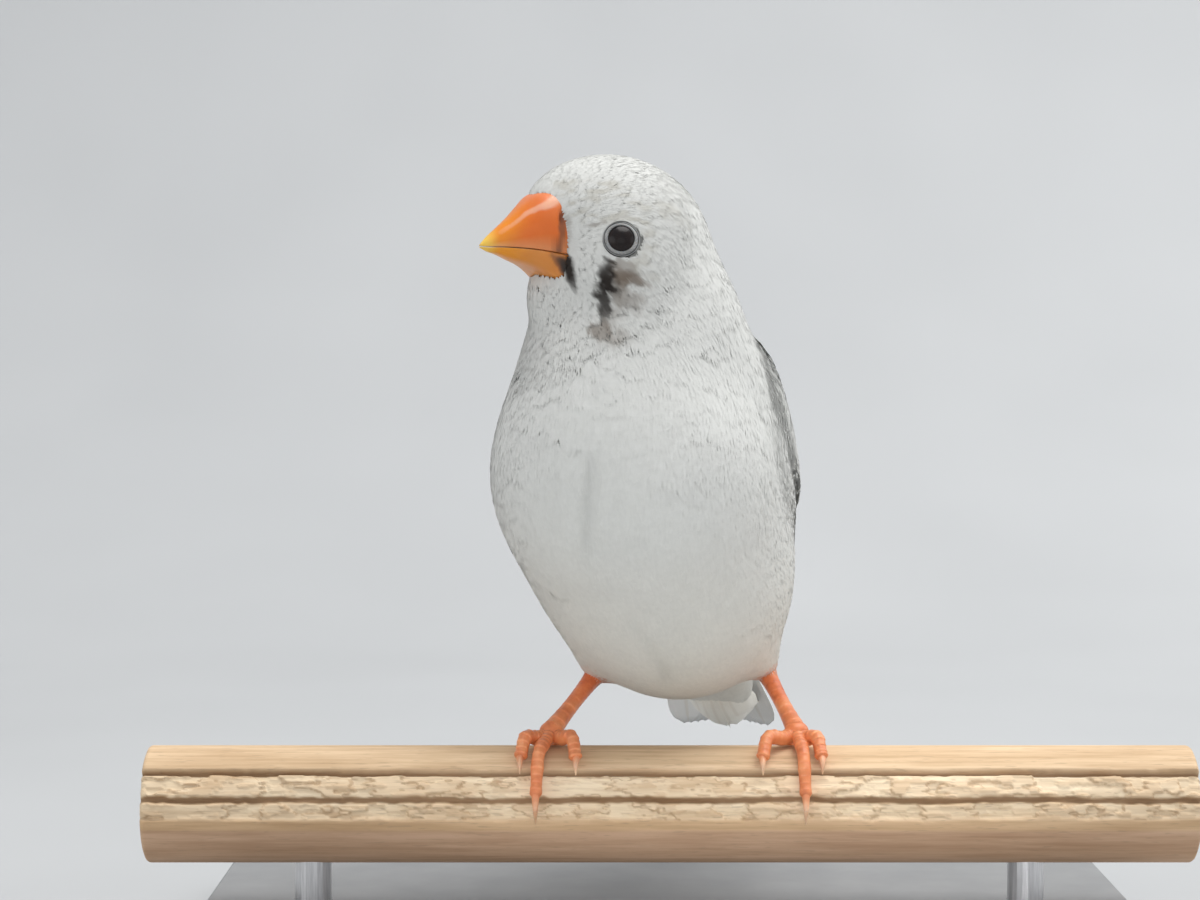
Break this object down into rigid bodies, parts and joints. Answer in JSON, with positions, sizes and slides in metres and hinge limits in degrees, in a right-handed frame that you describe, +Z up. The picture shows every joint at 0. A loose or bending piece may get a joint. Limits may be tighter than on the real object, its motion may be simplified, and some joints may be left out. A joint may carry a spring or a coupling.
{
  "type": "white zebra finch on a perch",
  "caption": "Life-size still model of a white zebra finch with an orange bill and a dark tear mark, gripping a short grooved perch held by rods on a flat display base.",
  "frame": {"origin": "centre of the display base's underside", "axes": "+Z up; the perch runs along X; the bird's breast faces -Y and its tail points to +Y"},
  "size_m": [0.114, 0.065, 0.0876],
  "materials": {
    "plumage": "soft overlapping white feathers, matte, with faint buff and grey flecks on the head and a dark tear mark",
    "bill": "smooth waxy orange horn, yellower at the tip",
    "eye": "wet black with a sharp highlight",
    "leg_skin": "scaly orange skin, slightly shiny",
    "claw": "translucent pale horn",
    "perch_wood": "bare softwood with worn, gnawed ribs and grooves",
    "stand": "plain pale satin paint",
    "stand_rod": "plain satin steel"
  },
  "bodies": {
    "root": {"claw_left_hallux": "claw", "claw_left_inner": "claw", "claw_left_middle": "claw", "claw_left_outer": "claw", "claw_right_hallux": "claw", "claw_right_inner": "claw", "claw_right_middle": "claw", "claw_right_outer": "claw", "eye_left": "eye", "eye_right": "eye", "foot_left": "leg_skin", "foot_right": "leg_skin", "head": "plumage", "lower_bill": "bill", "neck": "plumage", "perch": "perch_wood", "stand_base": "stand", "stand_rod_left": "stand_rod", "stand_rod_right": "stand_rod", "tail": "plumage", "tarsus_left": "leg_skin", "tarsus_right": "leg_skin", "thigh_left": "plumage", "thigh_right": "plumage", "torso": "plumage", "upper_bill": "bill", "wing_left": "plumage", "wing_right": "plumage"}
  },
  "joints": []
}
